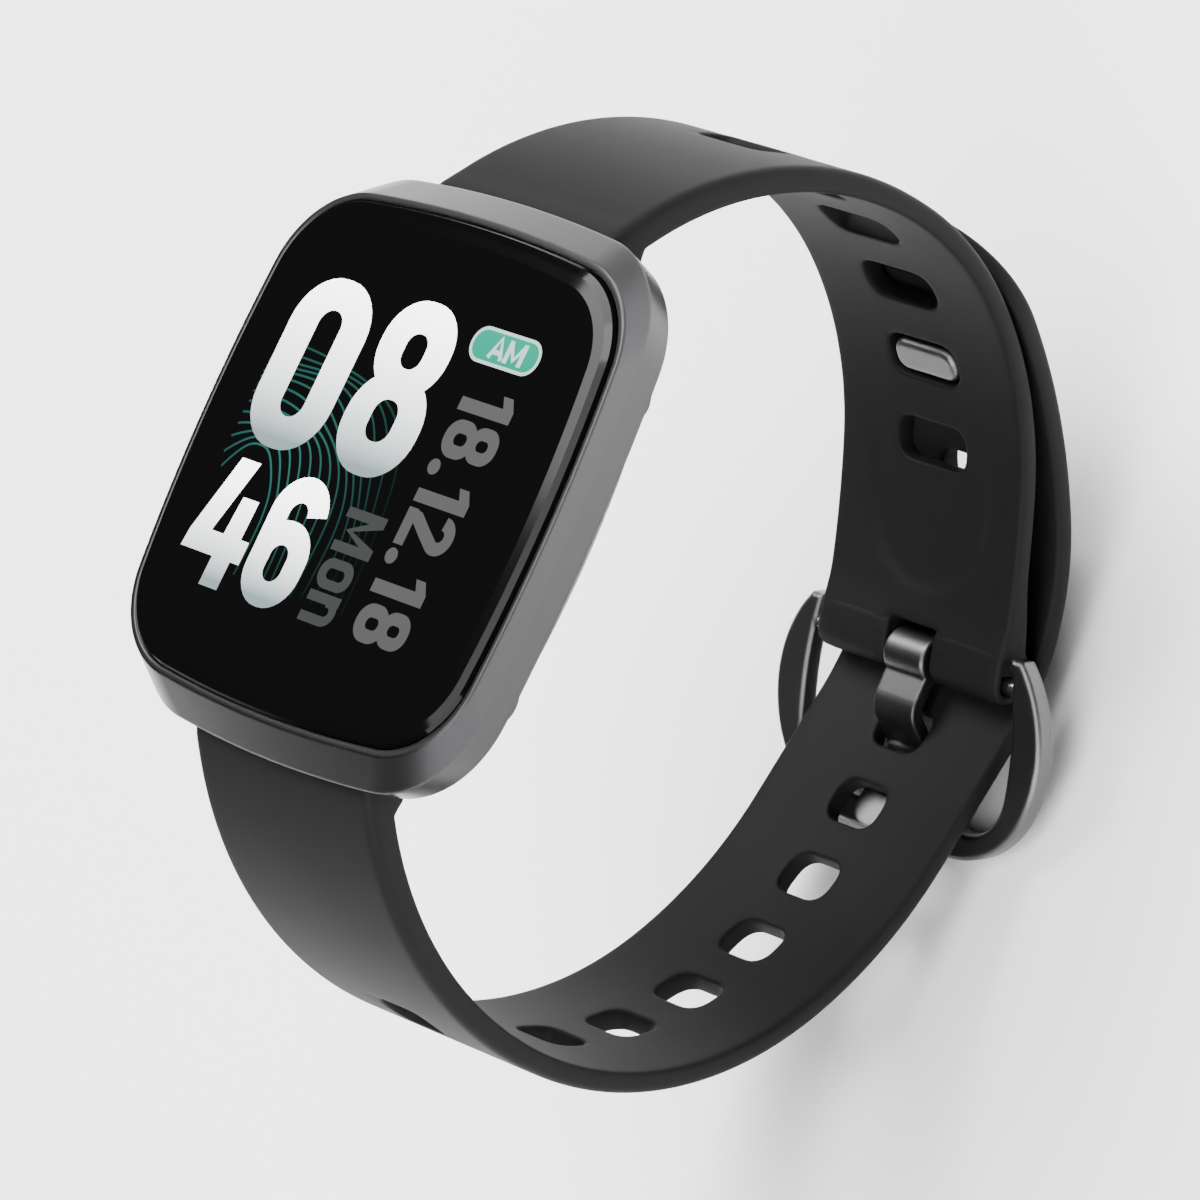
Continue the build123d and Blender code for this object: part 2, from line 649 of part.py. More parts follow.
with BuildPart() as buckle_frame:
    with BuildSketch(buckle_plane) as ring:
        with BuildLine() as rim_line:
            arm = ThreePointArc((11.6, 2.3), (14.4, -3.2), (13.6, -9.2))
            foot = Spline(arm @ 1, (9.8, -13.2), (0, -14.3), tangents=(arm % 1, (-1, 0)))
            inside_foot = Line((0, -11.9), (6.6, -11.9))
            corner = ThreePointArc(inside_foot @ 1, (9.9, -10.9), (11.2, -8.2))
            inside_arm = ThreePointArc(corner @ 1, (11.3, -3.5), (10.35, 2.3))
            Line(inside_arm @ 1, arm @ 0)
            Line(foot @ 1, inside_foot @ 0)
        make_face(rim_line.edges())
        mirror(about=Plane.YZ)
    extrude(ring.sketch, amount=BUCKLE_THICK / 2, both=True)
    faces = buckle_frame.faces().filter_by(GeomType.PLANE).sort_by(SortBy.AREA)[-2:]
    fillet(faces.edges(), BUCKLE_ROUND)
    with BuildSketch(Plane.YZ) as bore:
        with Locations((PIN_Y, PIN_Z)):
            Circle(PIN_R + 0.02)
    extrude(bore.sketch, amount=12.2, both=True, mode=Mode.SUBTRACT)
save(buckle_frame, "buckle_frame")

with BuildPart() as buckle_pin:
    with BuildSketch(Plane.YZ) as section:
        with Locations((PIN_Y, PIN_Z)):
            Circle(PIN_R)
    extrude(section.sketch, amount=12.1, both=True)
save(buckle_pin, "buckle_pin")

# The tongue leaves its eye level with the pin, dives through the first hole and lies over the crossbar.
TONGUE = dict(
    start=(PIN_Y - 0.8, PIN_Z - 0.45),
    heading=180.0,
    side=1,
    bends=[
        straight(PIN_Y - 0.8 - 3.27),
        bend(1.6 - STRIP / 2, 60),
        straight(2.33),
        bend(-1.6 - STRIP / 2, 70),
        straight(5.75),
    ],
)
with BuildPart() as buckle_tongue:
    with BuildSketch(Plane.YZ) as profile:
        strip_face(TONGUE, 0, reach(TONGUE), STRIP)
        with Locations((PIN_Y, PIN_Z)):
            Circle(EYE_R)
            Circle(PIN_R + RUNNING, mode=Mode.SUBTRACT)
    extrude(profile.sketch, amount=TONGUE_WIDTH / 2, both=True)
    tip = buckle_tongue.faces().sort_by(Axis.Y)[0]
    fillet(tip.edges().filter_by(lambda e: abs(e.center().X) > TONGUE_WIDTH / 2 - 0.1), 1.9)
    eye = buckle_tongue.edges().filter_by(GeomType.CIRCLE)
    fillet(eye.filter_by(lambda e: abs(e.radius - EYE_R) < 1e-3), TONGUE_ROUND)
save(buckle_tongue, "buckle_tongue")
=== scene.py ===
"""Smartwatch: the looks of each piece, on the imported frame. Lengths are written in millimetres."""

import json
from collections import namedtuple
from math import atan2, ceil, cos, hypot, inf, pi, radians, sin, sqrt

import bmesh
import bpy
from mathutils import Matrix, Vector


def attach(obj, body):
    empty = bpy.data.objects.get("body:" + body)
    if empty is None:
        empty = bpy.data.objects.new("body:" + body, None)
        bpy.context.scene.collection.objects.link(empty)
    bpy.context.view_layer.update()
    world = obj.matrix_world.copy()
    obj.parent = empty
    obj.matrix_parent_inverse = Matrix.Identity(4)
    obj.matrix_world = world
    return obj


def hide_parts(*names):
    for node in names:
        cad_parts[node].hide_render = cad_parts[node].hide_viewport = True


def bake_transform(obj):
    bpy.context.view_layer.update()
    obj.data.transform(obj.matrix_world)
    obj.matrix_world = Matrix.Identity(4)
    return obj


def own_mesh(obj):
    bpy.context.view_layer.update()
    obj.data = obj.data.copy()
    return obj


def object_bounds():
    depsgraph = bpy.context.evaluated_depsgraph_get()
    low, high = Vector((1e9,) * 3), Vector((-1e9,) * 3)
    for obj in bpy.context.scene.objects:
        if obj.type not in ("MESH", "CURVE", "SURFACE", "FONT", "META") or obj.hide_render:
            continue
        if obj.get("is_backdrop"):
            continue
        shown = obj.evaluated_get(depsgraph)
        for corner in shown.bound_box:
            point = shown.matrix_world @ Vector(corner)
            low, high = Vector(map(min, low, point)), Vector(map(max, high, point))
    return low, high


MM = 0.001

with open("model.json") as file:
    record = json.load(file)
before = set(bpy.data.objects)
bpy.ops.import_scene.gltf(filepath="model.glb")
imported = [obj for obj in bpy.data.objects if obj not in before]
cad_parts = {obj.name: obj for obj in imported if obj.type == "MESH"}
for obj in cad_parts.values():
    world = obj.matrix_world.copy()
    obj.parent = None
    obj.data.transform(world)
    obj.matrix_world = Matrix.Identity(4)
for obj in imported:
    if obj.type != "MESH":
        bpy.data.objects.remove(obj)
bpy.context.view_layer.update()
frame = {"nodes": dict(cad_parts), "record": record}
nodes = frame["nodes"]

# ---------------------------------------------------------------- dimensions shared with the CAD
STRAP_HALF = 10.0
STRAP_THICK, ROOT_THICK = 1.7, 2.3
HOLE, SLOT, HOLE_CORNER, HOLE_PITCH = (5.0, 3.6), (7.3, 3.3), 1.3, 6.75
BAR_Y, BAR_Z, BAR_BORE, KNUCKLE_R = 18.9, 5.6, 0.8, 2.1
PIN_R, STRAP_END_R, PIN_DEPTH = 0.65, 1.55, 1.1
PIN_CLEAR = 0.08  # radial room round the buckle pin
LEVER_SLOT = (5.7, 8.3)  # the knuckles are open here, for the quick-release levers
NOTCH_HALF, NOTCH_DEPTH = 2.45, 2.3
GLASS_TOP = 11.0


def bend(radius, angle):
    """Curved stretch of a track: radius and arc length. A negative radius bends it back."""
    return radius, abs(radius) * radians(angle)


def straight(length):
    return inf, length


# A track is the wrist side of a strap seen along X: start, heading in degrees, turning side, stretches.
UPPER = dict(
    start=(21.6, 4.05),
    heading=-37.0,
    side=-1,
    bends=[bend(28.9, 53), bend(22.2, 30), bend(27.5, 31), bend(85, 11)],
)
LOWER = dict(
    start=(-21.6, 4.05),
    heading=-140.0,
    side=1,
    bends=[
        bend(30, 50),
        bend(27.6, 54),
        bend(34.3, 25),
        straight(9.5),
        bend(22, 46.8),
        bend(45.4, 24.2),
        bend(24.15, 13.3),
    ],
)


def reach(track, count=None):
    """Length of a track, or of its first count stretches."""
    return sum(length for radius, length in track["bends"][:count])


def spot(track, s, lift=0.0):
    """Point (y, z) at length s along a track, lifted away from the wrist."""
    y, z = track["start"]
    angle = radians(track["heading"])
    side = track["side"]
    for radius, length in track["bends"]:
        step = min(length, s)
        turn = side * step / radius
        chord = step if turn == 0 else step * sin(turn / 2) / (turn / 2)
        y += chord * cos(angle + turn / 2)
        z += chord * sin(angle + turn / 2)
        angle += turn
        s -= step
        if s <= 0:
            break
    return y + lift * side * sin(angle), z - lift * side * cos(angle)


# ---------------------------------------------------------------- mesh building
class Shell:
    """Vertices and faces of one piece, gathered in millimetres."""

    def __init__(self):
        self.points = []
        self.faces = []
        self.sharp_rows = []  # rows whose edges stay sharp when the piece is rounded

    def row(self, points):
        first = len(self.points)
        self.points.extend(points)
        return list(range(first, len(self.points)))

    def bridge(self, a, b, closed=True):
        """Quads between two rows of equal length."""
        count = len(a) if closed else len(a) - 1
        for i in range(count):
            j = (i + 1) % len(a)
            self.faces.append((a[i], a[j], b[j], b[i]))

    def piece(self, name, material):
        mesh = bpy.data.meshes.new(name)
        mesh.from_pydata([(x * MM, y * MM, z * MM) for x, y, z in self.points], [], self.faces)
        shape = bmesh.new()
        shape.from_mesh(mesh)
        bmesh.ops.recalc_face_normals(shape, faces=shape.faces)
        shape.to_mesh(mesh)
        shape.free()
        crease = mesh.attributes.new("crease_edge", "FLOAT", "EDGE") if self.sharp_rows else None
        for row in self.sharp_rows:
            members = set(row)
            for edge in mesh.edges:
                if members.issuperset(edge.vertices):
                    edge.use_edge_sharp = True
                    crease.data[edge.index].value = 1.0
        mesh.materials.append(material)
        piece = bpy.data.objects.new(name, mesh)
        bpy.context.scene.collection.objects.link(piece)
        return piece


def loop_ring(shell, centre, bore, radius, x0, x1, rim=0.3, back=None, segments=32):
    """Tube along X round centre (y, z), with rounded outer rims. With back, a vector in YZ, its outer
    outline is a stadium that also reaches that far back."""
    profile = [(x0, bore), (x0, radius - rim)]
    profile += [(x0 + rim * (1 - cos(a)), radius - rim * (1 - sin(a))) for a in (pi / 4, pi / 2)]
    profile += [(x1 - rim * (1 - cos(a)), radius - rim * (1 - sin(a))) for a in (pi / 2, pi / 4)]
    profile += [(x1, radius - rim), (x1, bore)]
    turns = [2 * pi * k / segments for k in range(segments)]
    shifts = [(0.0, 0.0)] * segments
    if back:
        toward = atan2(back[1], back[0])
        half = segments // 2
        turns = [toward - pi / 2 + pi * k / half for k in range(half + 1)]
        turns += [toward + pi / 2 + pi * k / half for k in range(half + 1)]
        shifts = [back] * (half + 1) + [(0.0, 0.0)] * (half + 1)
    even = [turns[0] + 2 * pi * k / len(turns) for k in range(len(turns))]
    rings = []
    for x, r in profile:
        spots = zip(even, [(0.0, 0.0)] * len(even)) if r == bore else zip(turns, shifts)
        ring = [(x, centre[0] + r * cos(a) + dy, centre[1] + r * sin(a) + dz) for a, (dy, dz) in spots]
        rings.append(shell.row(ring))
    for a, b in zip(rings, rings[1:] + rings[:1]):
        shell.bridge(a, b)


# ---------------------------------------------------------------- materials
def node(tree, kind, links=(), **values):
    """Add a shader node; links are (input, socket) pairs and values set inputs by name."""
    made = tree.nodes.new(kind)
    for name, socket in links:
        tree.links.new(socket, made.inputs[name])
    for name, value in values.items():
        made.inputs[name.replace("_", " ")].default_value = value
    return made


def grey(level):
    return (level, level, level, 1.0)


def finish(
    name,
    colour,
    roughness,
    metallic=0.0,
    grain=2.0,
    mottle=0.06,
    bump=0.004,
    stretch=(1, 1, 1),
    soften=0.0,
    **extra,
):
    """Principled material with fine procedural variation. grain is the size of its texture in mm, mottle
    how much colour and roughness wander, bump its relief in mm, stretch the brushing, and soften the
    radius of its edges in mm."""
    material = bpy.data.materials.new(name)
    material.use_nodes = True
    tree = material.node_tree
    shader = tree.nodes["Principled BSDF"]
    place = node(tree, "ShaderNodeTexCoord")
    scaled = node(tree, "ShaderNodeMapping", [("Vector", place.outputs["Object"])])
    scaled.inputs["Scale"].default_value = [axis / (grain * MM) for axis in stretch]
    fine = node(tree, "ShaderNodeTexNoise", [("Vector", scaled.outputs[0])], Scale=1.0, Detail=5.0)
    broad = node(tree, "ShaderNodeTexNoise", [("Vector", place.outputs["Object"])], Scale=70.0, Detail=3.0)
    shades = node(tree, "ShaderNodeMix", [("Factor", fine.outputs["Fac"])])
    shades.data_type = "RGBA"
    dark = [c * (1 - mottle) for c in colour[:3]] + [1.0]
    light = [min(1.0, c * (1 + mottle)) for c in colour[:3]] + [1.0]
    shades.inputs[6].default_value = dark
    shades.inputs[7].default_value = light
    tree.links.new(shades.outputs[2], shader.inputs["Base Color"])
    wander = node(tree, "ShaderNodeMapRange", [("Value", broad.outputs["Fac"])])
    wander.inputs["To Min"].default_value = roughness * (1 - mottle)
    wander.inputs["To Max"].default_value = roughness * (1 + mottle)
    tree.links.new(wander.outputs[0], shader.inputs["Roughness"])
    relief = node(tree, "ShaderNodeBump", [("Height", fine.outputs["Fac"])], Strength=1.0)
    relief.inputs["Distance"].default_value = bump * MM
    if soften:
        edge = node(tree, "ShaderNodeBevel", Radius=soften * MM)
        tree.links.new(edge.outputs[0], relief.inputs["Normal"])
    tree.links.new(relief.outputs[0], shader.inputs["Normal"])
    shader.inputs["Metallic"].default_value = metallic
    for key, value in extra.items():
        shader.inputs[key.replace("_", " ")].default_value = value
    return material


silicone = finish("silicone", grey(0.0065), 0.62, grain=0.25, bump=0.006, Specular_IOR_Level=0.10)
gunmetal = finish("gunmetal", (0.052, 0.052, 0.054, 1), 0.30, 1.0, grain=0.4, bump=0.001, soften=0.35)
polished = finish("polished", (0.125, 0.125, 0.128, 1), 0.36, 1.0, grain=0.5, bump=0.001, soften=0.30)
satin = finish("satin", (0.16, 0.16, 0.165, 1), 0.40, 1.0, grain=0.2, bump=0.002, soften=0.30)
black_glass = finish("black_glass", grey(0.0015), 0.08, grain=8.0, bump=0.0, Specular_IOR_Level=0.10)
FINISHES = {
    "case_metal": gunmetal,
    "cover_glass": black_glass,
    "adhesive": finish("adhesive", grey(0.02), 0.6, grain=0.3, bump=0.01),
    "display": finish("display", (0.01, 0.012, 0.016, 1), 0.15, grain=0.5, mottle=0.2),
    "ribbon": finish("ribbon", (0.45, 0.22, 0.05, 1), 0.4, grain=0.4, mottle=0.15),
    "board_green": finish("board_green", (0.02, 0.12, 0.05, 1), 0.45, grain=0.6, mottle=0.25),
    "chip_black": finish("chip_black", grey(0.02), 0.5, grain=0.2, bump=0.01),
    "plate_metal": finish("plate_metal", grey(0.5), 0.35, 1.0, grain=0.2, stretch=(1, 12, 1)),
    "battery_wrap": finish("battery_wrap", grey(0.25), 0.35, 0.6, grain=1.5, mottle=0.12),
    "motor_steel": finish("motor_steel", grey(0.55), 0.25, 1.0, grain=0.3),
    "rotor_tungsten": finish("rotor_tungsten", grey(0.30), 0.4, 1.0, grain=0.3, mottle=0.1),
    "back_plastic": finish("back_plastic", grey(0.018), 0.38, grain=0.3, soften=0.25),
    "screw_steel": finish("screw_steel", grey(0.4), 0.3, 1.0, grain=0.2),
    "sensor_glass": finish("sensor_glass", grey(0.01), 0.08, grain=4.0, bump=0.0),
    "diode": finish("diode", (0.25, 0.55, 0.20, 1), 0.3, grain=0.3, mottle=0.2),
    "contact_gold": finish("contact_gold", (0.80, 0.55, 0.22, 1), 0.22, 1.0, grain=0.2),
    "magnet_nickel": finish("magnet_nickel", grey(0.6), 0.25, 1.0, grain=0.4),
    "strap_silicone": silicone,
    "buckle_metal": polished,
    "stud_metal": satin,
    "bar_steel": finish("bar_steel", grey(0.55), 0.25, 1.0, grain=0.2, stretch=(8, 1, 1)),
}

# ---------------------------------------------------------------- strap skins
Strap = namedtuple("Strap", "track thick half core hole recess")
# Flat columns between the hole cells and the rounded edges, and the radii of those edges.
FLATS = (5.7, 6.3, 6.9, 8.0, 8.9)
OUTER_EDGE, INNER_EDGE = 0.7, 0.45
CELL_LENGTH, CELL_ROWS, CELL_COLUMNS = 4.7, 8, 12
LOOP = 2 * (CELL_COLUMNS + 1) + 4 * (len(FLATS) + 4)
HALF_LOOP = LOOP // 2
ROW_STEP = 0.6
RIM_ROUND = 0.25
# Outer and inner (y, z) of the strap where it leaves the pocket at 12 o'clock.
NECK = (
    ((20.25, 7.53), (20.0, 3.78)),
    ((20.85, 7.44), (20.6, 3.88)),
    ((21.55, 7.14), (21.1, 3.97)),
)
ARC_ANGLES = [radians(angle) for angle in (90, 60, 30, 0)]


def section(half, thick, core):
    """Cross-section of a strap as (x, t) points, t rising from the wrist side. It starts with the outer
    face, from -X to +X."""
    narrow = (half - OUTER_EDGE) / (STRAP_HALF - OUTER_EDGE)
    columns = [core * narrow * (2 * k / CELL_COLUMNS - 1) for k in range(CELL_COLUMNS + 1)]
    flats = [narrow * x for x in FLATS]
    outer = [(half - OUTER_EDGE * (1 - cos(a)), thick - OUTER_EDGE * (1 - sin(a))) for a in ARC_ANGLES]
    inner = [(half - INNER_EDGE * (1 - cos(a)), INNER_EDGE * (1 - sin(a))) for a in reversed(ARC_ANGLES)]
    side = [(x, thick) for x in flats] + outer + inner + [(x, 0.0) for x in reversed(flats)]
    other_side = [(-x, t) for x, t in reversed(side)]
    return [(x, thick) for x in columns] + side + [(-x, 0.0) for x in columns] + other_side


def place(strap, s, x, t):
    """Point of a strap at length s, across x and t above its wrist side."""
    if strap.recess:
        t += strap.recess(s, x) * (1 - t / strap.thick(s))
    y, z = spot(strap.track, s, t)
    return x, y, z


def station(strap, s):
    return [place(strap, s, x, t) for x, t in section(strap.half(s), strap.thick(s), strap.core)]


def neck_stations(strap, end):
    """Stations between the knuckle and the start of the track, inside the case's pocket."""
    rows = []
    for outer, inner in NECK:
        thick = hypot(outer[0] - inner[0], outer[1] - inner[1])
        row = []
        for x, t in section(STRAP_HALF, thick, strap.core):
            share = t / thick
            y = inner[0] + share * (outer[0] - inner[0])
            z = inner[1] + share * (outer[1] - inner[1])
            row.append((x, end * y, z))
        rows.append(row)
    return rows


def strap_lengths(first, last, holes, support=0.12):
    """Lengths of the stations: close pairs at both ends, CELL_ROWS steps through each hole cell, and even
    steps between."""
    fixed = [first, first + support]
    for centre in holes:
        fixed.append(centre - CELL_LENGTH / 2)
        fixed.append(centre + CELL_LENGTH / 2)
    fixed += [last - support, last]
    lengths = []
    for count, (a, b) in enumerate(zip(fixed, fixed[1:])):
        inside_cell = holes and count % 2 == 0 and 0 < count < len(fixed) - 2
        steps = CELL_ROWS if inside_cell else max(1, ceil((b - a) / ROW_STEP))
        lengths += [a + (b - a) * k / steps for k in range(steps)]
    return lengths + [last]


def rounded_outline(dx, ds, cell, hole, grow):
    """Point of a hole's outline, grown outwards, that belongs to point (dx, ds) of its cell's border."""
    half_x, half_s = hole[0] / 2 + grow, hole[1] / 2 + grow
    corner = HOLE_CORNER + grow
    x = dx * half_x / cell[0]
    s = ds * half_s / cell[1]
    over_x = abs(x) - (half_x - corner)
    over_s = abs(s) - (half_s - corner)
    if over_x > 0 and over_s > 0:
        away = corner / hypot(over_x, over_s)
        x = (half_x - corner + over_x * away) * (1 if x > 0 else -1)
        s = (half_s - corner + over_s * away) * (1 if s > 0 else -1)
    return x, s


def cut_hole(shell, strap, rows, lengths, first, centre):
    """Fill a hole cell, from row first on, with rings from its border to the hole's rim and the wall
    through the strap."""
    last = first + CELL_ROWS
    border = [(first, column) for column in range(CELL_COLUMNS)]
    border += [(row, CELL_COLUMNS) for row in range(first, last)]
    border += [(last, column) for column in range(CELL_COLUMNS, 0, -1)]
    border += [(row, 0) for row in range(last, first, -1)]
    cell = (strap.core, CELL_LENGTH / 2)
    thick = strap.thick(centre)
    mid = 0.29 * RIM_ROUND
    levels = [(None, thick), (RIM_ROUND, thick), (mid, thick - mid), (0.0, thick - RIM_ROUND)]
    levels += [(0.0, RIM_ROUND), (mid, mid), (RIM_ROUND, 0.0), (None, 0.0)]
    previous = [rows[row][column] for row, column in border]
    for grow, t in levels:
        ring = []
        for row, column in border:
            dx = strap.core * (2 * column / CELL_COLUMNS - 1)
            ds = lengths[row] - centre
            x, s = rounded_outline(dx, ds, cell, strap.hole, RIM_ROUND if grow is None else grow)
            if grow is None:
                x, s = (x + dx) / 2, (s + ds) / 2
            ring.append(place(strap, centre + s, x, t))
        ring = shell.row(ring)
        shell.bridge(previous, ring)
        previous = ring
    inner_border = [rows[row][HALF_LOOP + CELL_COLUMNS - column] for row, column in border]
    shell.bridge(previous, inner_border)


def cap(shell, row, gap):
    """Close the end of a strap with quads from its outer to its inner face. The notch's columns, gap, are
    left out."""
    for k in range(CELL_COLUMNS):
        if k not in gap:
            across = HALF_LOOP + CELL_COLUMNS - k
            shell.faces.append((row[k], row[k + 1], row[across - 1], row[across]))
    sides = (HALF_LOOP - CELL_COLUMNS - 1) // 2
    for k in range(sides):
        a, b = CELL_COLUMNS + k, HALF_LOOP - k
        shell.faces.append((row[a], row[a + 1], row[b - 1], row[b]))
        a, b = HALF_LOOP + CELL_COLUMNS + k, LOOP - k
        shell.faces.append((row[a], row[a + 1], row[b - 1], row[b % LOOP]))


def strap_skin(strap, first, last, holes, neck=None, notch_from=None):
    """Closed quad skin of a strap between two lengths. neck is the end of the case it hangs on, if any."""
    shell = Shell()
    holes = [centre for centre in holes if first < centre < last]
    lengths = strap_lengths(first, last, holes)
    if notch_from is not None:
        lengths = [s for s in lengths if abs(s - notch_from) > 0.45] + [notch_from, notch_from + 0.15]
        lengths.sort()
    stations = [station(strap, s) for s in lengths]
    if neck:
        lead = neck_stations(strap, neck)
        stations = lead + stations
        lengths = [first - len(lead) + k for k in range(len(lead))] + lengths
    rows = [shell.row(points) for points in stations]
    starts = {}
    for centre in holes:
        starts[min(range(len(lengths)), key=lambda i: abs(lengths[i] - centre + CELL_LENGTH / 2))] = centre
    notch_row = len(rows)
    if notch_from is not None:
        notch_row = min(range(len(lengths)), key=lambda i: abs(lengths[i] - notch_from))
    gap = []
    if notch_from is not None:
        reach_columns = round(NOTCH_HALF / strap.core * CELL_COLUMNS / 2)
        gap = list(range(CELL_COLUMNS // 2 - reach_columns, CELL_COLUMNS // 2 + reach_columns))
    in_cell = {row for start in starts for row in range(start, start + CELL_ROWS)}
    for i, (a, b) in enumerate(zip(rows, rows[1:])):
        for k in range(LOOP):
            column = k if k < CELL_COLUMNS else HALF_LOOP + CELL_COLUMNS - 1 - k
            core = k < CELL_COLUMNS or HALF_LOOP <= k < HALF_LOOP + CELL_COLUMNS
            if core and (i in in_cell or (i >= notch_row and column in gap)):
                continue
            j = (k + 1) % LOOP
            shell.faces.append((a[k], a[j], b[j], b[k]))
    for start, centre in starts.items():
        cut_hole(shell, strap, rows, lengths, start, centre)
    if gap:
        for column in (gap[0], gap[-1] + 1):
            across = HALF_LOOP + CELL_COLUMNS - column
            for a, b in zip(rows[notch_row:], rows[notch_row + 1 :]):
                shell.faces.append((a[column], b[column], b[across], a[across]))
        row = rows[notch_row]
        for column in gap:
            across = HALF_LOOP + CELL_COLUMNS - column
            shell.faces.append((row[column], row[column + 1], row[across - 1], row[across]))
    cap(shell, rows[0], [])
    cap(shell, rows[-1], gap)
    shell.sharp_rows = [row for row, s in ((rows[0], first), (rows[-1], last)) if s == seam]
    return shell


def smooth(piece):
    """Round a quad skin with one level of subdivision."""
    rounding = piece.modifiers.new("rounding", "SUBSURF")
    rounding.levels = 1
    rounding.render_levels = 1
    piece.data.shade_smooth()


def ease(value):
    value = min(1.0, max(0.0, value))
    return value * value * (3 - 2 * value)


upper_split = reach(UPPER, 1)
stud_slot = reach(UPPER, 2) + 27.5 * radians(13.2)
upper_slots = [stud_slot + HOLE_PITCH * count for count in range(-4, 2)]
pin_s = reach(UPPER, 3) + 85 * radians(9.8)
lower_split = reach(LOWER, 1)
tail_split = reach(LOWER, 4) + 22 * radians(42.3)
tongue_hole = reach(LOWER, 4) - 0.7
lower_holes = [tongue_hole + HOLE_PITCH * count for count in range(-8, 4)]
seam = tongue_hole + 1.5 * HOLE_PITCH  # the two skins of the lower strap meet here, under the upper strap
PIN = spot(UPPER, pin_s, PIN_DEPTH)


def root_thick(s, split):
    return ROOT_THICK + (STRAP_THICK - ROOT_THICK) * min(1.0, s / split)


def upper_thick(s):
    """The strap swells towards its loop round the buckle pin."""
    loop_thick = PIN_DEPTH + STRAP_END_R
    return root_thick(s, upper_split) + (loop_thick - STRAP_THICK) * ease((s - pin_s + 9.0) / 8.2)


def upper_recess(s, x):
    """How far the wrist side of the upper strap lies below its track: a shallow panel with a round lower end
    above the buckle, and the bulge round the buckle pin."""
    panel_half, panel_end = 6.6, 63.0
    from_middle = hypot(x, max(0.0, s - panel_end + panel_half))
    panel = 0.3 * ease((panel_half - from_middle) / 0.6) * ease((s - 50.0) / 9.0)
    return panel - (STRAP_END_R - PIN_DEPTH) * ease((s - pin_s + 5.0) / 4.2)


def tail_half(s):
    """Half width of the lower strap, whose tip is rounded at both corners."""
    tip_round = 8.5
    over = s - (reach(LOWER) - tip_round)
    if over <= 0:
        return STRAP_HALF
    return STRAP_HALF - tip_round + sqrt(max(0.0, tip_round**2 - over**2))


upper = Strap(UPPER, upper_thick, lambda s: STRAP_HALF, 2 * NOTCH_HALF, SLOT, upper_recess)
lower = Strap(LOWER, lambda s: root_thick(s, lower_split), tail_half, 3.6, HOLE, None)

upper_end = pin_s - PIN_R - PIN_CLEAR
upper_shell = strap_skin(upper, 0.0, upper_end, upper_slots, neck=1, notch_from=pin_s - NOTCH_DEPTH)
before_pin = spot(UPPER, pin_s - 1.7, PIN_DEPTH)
lug_back = (before_pin[0] - PIN[0], before_pin[1] - PIN[1])
for x0, x1 in ((-STRAP_HALF, -NOTCH_HALF), (NOTCH_HALF, STRAP_HALF)):
    loop_ring(upper_shell, PIN, PIN_R + PIN_CLEAR, STRAP_END_R + 0.015, x0, x1, rim=0.45, back=lug_back)
lower_shell = strap_skin(lower, 0.0, seam, lower_holes, neck=-1)
for shell, end in ((upper_shell, 1), (lower_shell, -1)):
    for x0, x1 in ((-STRAP_HALF, LEVER_SLOT[0]), (LEVER_SLOT[1], STRAP_HALF)):
        loop_ring(shell, (end * BAR_Y, BAR_Z), BAR_BORE + 0.05, KNUCKLE_R, x0, x1)
upper_skin = upper_shell.piece("upper_strap_skin", silicone)
lower_skin = lower_shell.piece("lower_strap_skin", silicone)
tail_skin = strap_skin(lower, seam, reach(LOWER), lower_holes).piece("lower_tail_skin", silicone)
for skin in (upper_skin, lower_skin, tail_skin):
    smooth(skin)
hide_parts("upper_strap_root", "upper_strap_end")
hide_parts("lower_strap_root", "lower_strap_end")
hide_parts("lower_strap_tail")
for skin, side, y in ((upper_skin, "upper", 34), (lower_skin, "lower", -33)):
    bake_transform(skin)
bend_start, bend_end = (spot(LOWER, tail_split + step) for step in (1.0, 9.0))
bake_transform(tail_skin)

# ---------------------------------------------------------------- bar springs
def coil(name, end):
    """Spring of a bar: a wire wound round the bar's axis between its seat and the plunger."""
    seat, stop, turns, wire, radius = 1.0, 5.0, 8, 0.07, 0.38
    shell = Shell()
    rings = []
    steps = 24 * turns
    for k in range(steps + 1):
        turn = 2 * pi * turns * k / steps
        x = seat + wire + (stop - seat - 2 * wire) * k / steps
        ring = []
        for corner in range(8):
            angle = 2 * pi * corner / 8
            r = radius + wire * cos(angle)
            ring.append((x + wire * sin(angle), end * BAR_Y + r * cos(turn), BAR_Z + r * sin(turn)))
        rings.append(shell.row(ring))
    for a, b in zip(rings, rings[1:]):
        shell.bridge(a, b)
    shell.faces.append(tuple(rings[0]))
    shell.faces.append(tuple(rings[-1]))
    piece = shell.piece(name, FINISHES["bar_steel"])
    piece.data.shade_smooth()
    return piece


for side, end in (("upper", 1), ("lower", -1)):
    spring = coil(f"{side}_bar_coil", end)
    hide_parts(f"{side}_bar_spring")
    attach(spring, f"{side}_strap_root")
    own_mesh(spring)

# ---------------------------------------------------------------- dial
DIAL_TILT = 0.045  # lean of all characters
FILM = 0.02  # thickness of what the display shows, on top of the glass


